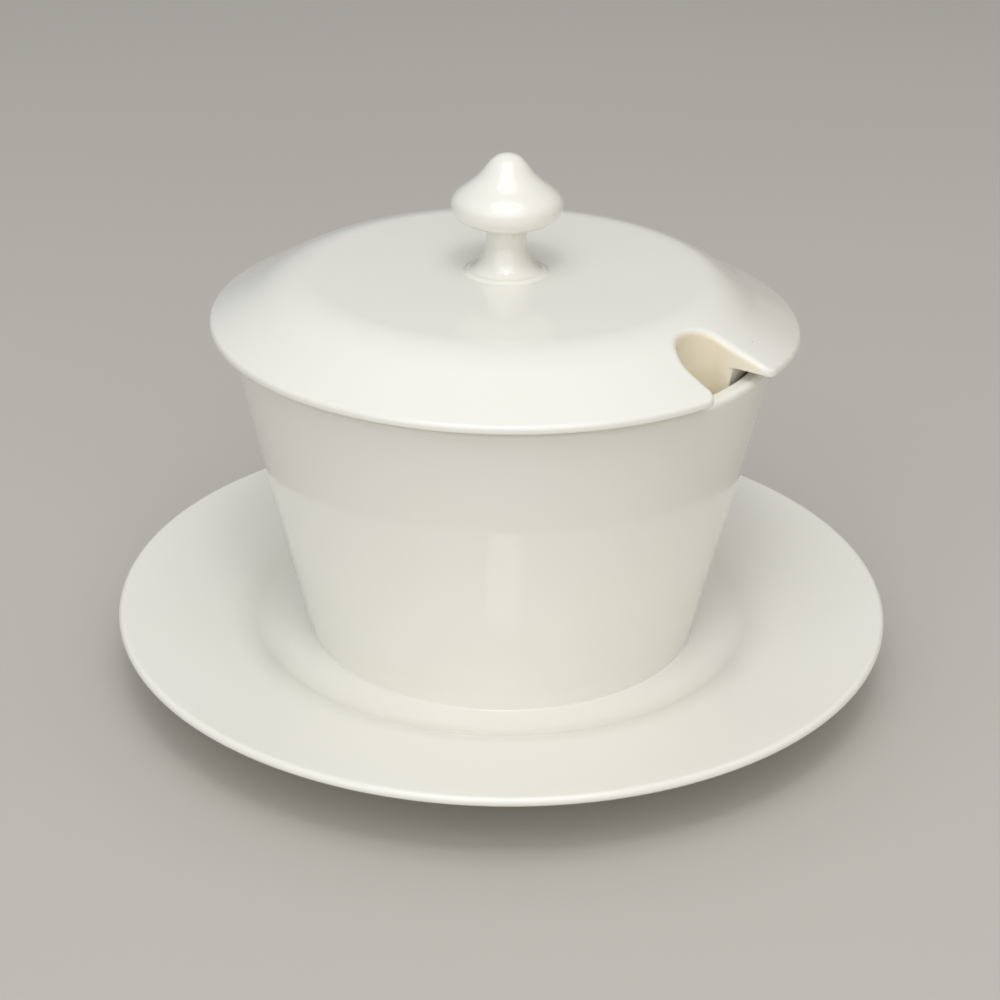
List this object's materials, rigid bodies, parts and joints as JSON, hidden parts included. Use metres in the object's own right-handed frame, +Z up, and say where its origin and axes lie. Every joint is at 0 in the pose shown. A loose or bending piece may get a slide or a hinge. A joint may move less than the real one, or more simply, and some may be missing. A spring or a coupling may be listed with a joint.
{
  "type": "jam pot",
  "caption": "Covered jam pot of glazed cream earthenware on a fixed stand, with a domed lid that lifts off and has an acorn knob and a notch for the spoon.",
  "frame": {"origin": "centre of the underside of the stand's foot ring, on the table", "axes": "+Z up along the axis of the pot, +X from the axis towards the spoon notch in the lid"},
  "size_m": [0.16, 0.16, 0.109],
  "materials": {
    "glazed_ware": "glossy clear glaze over cream earthenware",
    "glazed_slip": "glossy glaze pooled over the slip joint"
  },
  "bodies": {
    "pot_and_stand": {"saucer": "glazed_ware", "pot_slip": "glazed_slip", "pot": "glazed_ware"},
    "lid": {"lid": "glazed_ware", "knob_slip": "glazed_slip", "knob": "glazed_ware"}
  },
  "joints": [
    {"name": "lid_lift", "type": "slide", "parent": "pot_and_stand", "child": "lid", "axis": [0, 0, 1], "range_m": [0, 0.1]}
  ]
}
